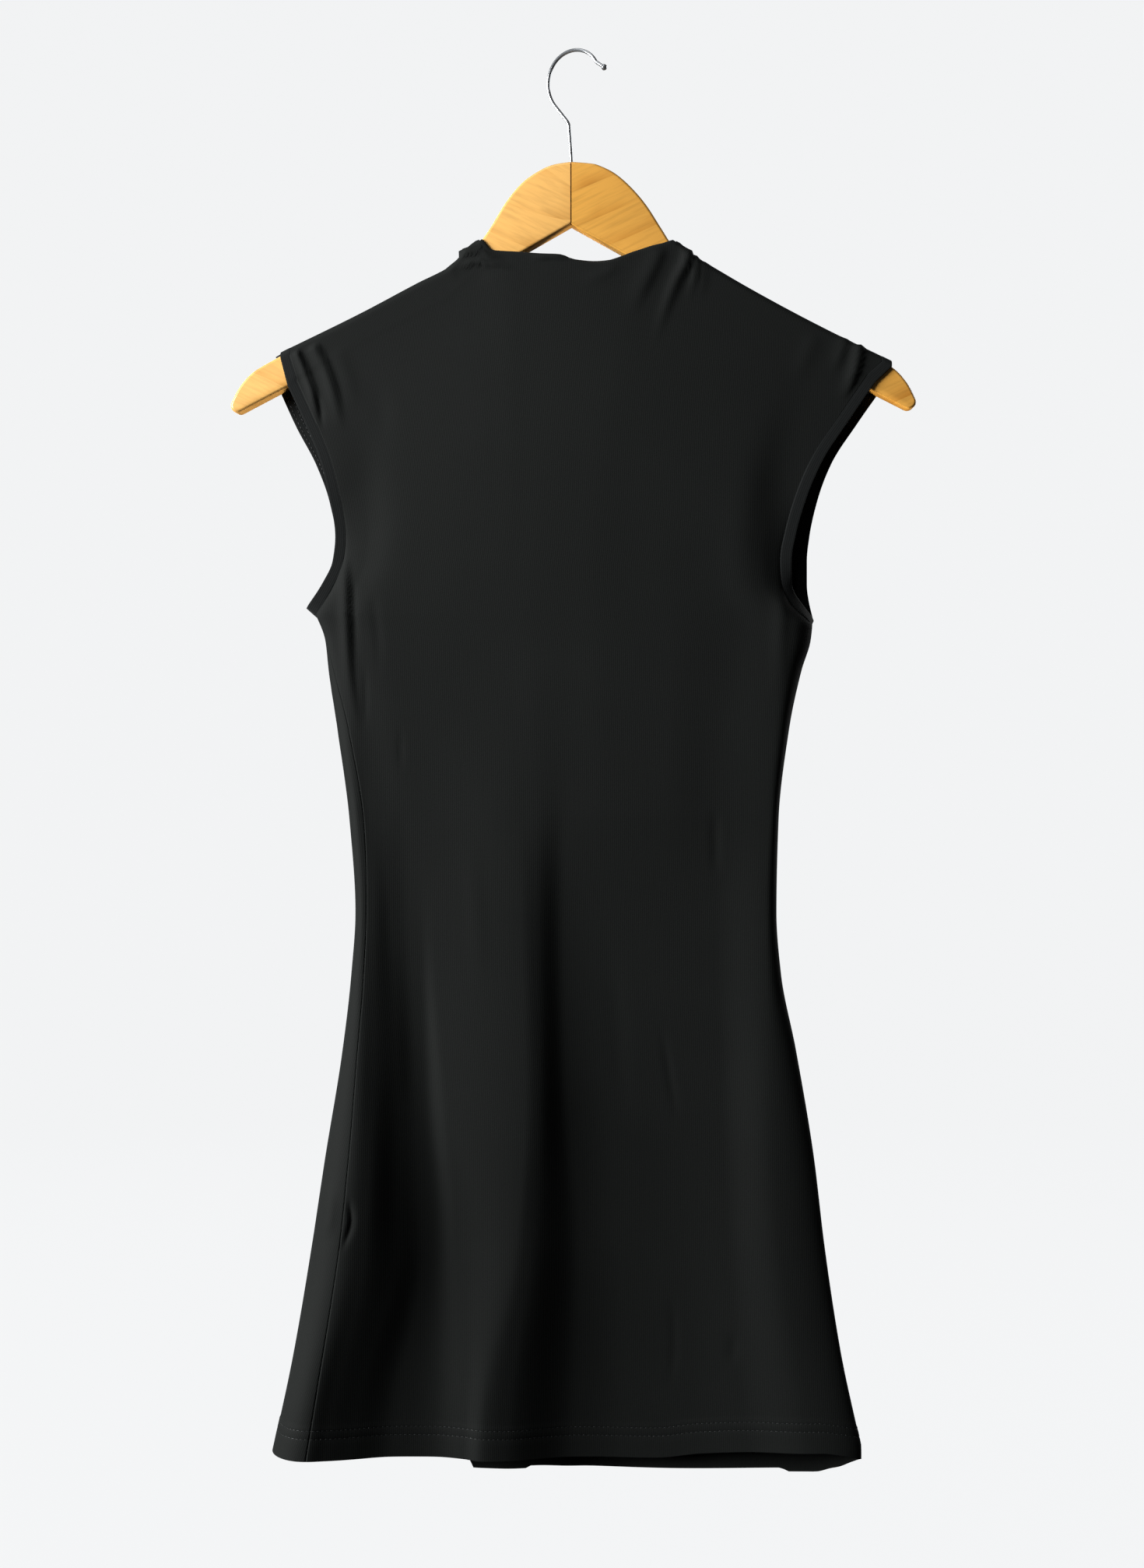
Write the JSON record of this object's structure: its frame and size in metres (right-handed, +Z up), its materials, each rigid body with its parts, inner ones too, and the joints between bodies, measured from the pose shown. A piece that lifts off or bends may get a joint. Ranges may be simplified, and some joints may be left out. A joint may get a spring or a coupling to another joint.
{
  "type": "sleeveless tunic on a wooden hanger",
  "caption": "Sleeveless black jersey tunic with a funnel neck, bound armholes and a flared skirt, hanging on a wooden hanger with a wire hook.",
  "frame": {"origin": "inner top of the hook's loop, where a rod or a nail carries the hanger", "axes": "+Z up, the front of the garment faces -Y, +X to the right as seen from the front"},
  "size_m": [0.4484, 0.0518, 0.9353],
  "materials": {
    "black_jersey": "fine matt stretch jersey with a faint sheen",
    "lacquered_wood": "honey lacquer over pale hardwood",
    "bright_wire": "bright plated wire"
  },
  "bodies": {
    "root": {"front_yoke_left": "black_jersey", "front_yoke_mid_left": "black_jersey", "front_yoke_mid_right": "black_jersey", "front_yoke_right": "black_jersey", "front_waist_left": "black_jersey", "front_waist_mid_left": "black_jersey", "front_waist_mid_right": "black_jersey", "front_waist_right": "black_jersey", "front_hips_left": "black_jersey", "front_hips_mid_left": "black_jersey", "front_hips_mid_right": "black_jersey", "front_hips_right": "black_jersey", "front_skirt_left": "black_jersey", "front_skirt_mid_left": "black_jersey", "front_skirt_mid_right": "black_jersey", "front_skirt_right": "black_jersey", "back_yoke_left": "black_jersey", "back_yoke_mid_left": "black_jersey", "back_yoke_mid_right": "black_jersey", "back_yoke_right": "black_jersey", "back_waist_left": "black_jersey", "back_waist_mid_left": "black_jersey", "back_waist_mid_right": "black_jersey", "back_waist_right": "black_jersey", "back_hips_left": "black_jersey", "back_hips_mid_left": "black_jersey", "back_hips_mid_right": "black_jersey", "back_hips_right": "black_jersey", "back_skirt_left": "black_jersey", "back_skirt_mid_left": "black_jersey", "back_skirt_mid_right": "black_jersey", "back_skirt_right": "black_jersey", "armhole_band_left": "black_jersey", "armhole_band_right": "black_jersey", "hanger_arm_left": "lacquered_wood", "hanger_arm_right": "lacquered_wood", "hook": "bright_wire"}
  },
  "joints": []
}
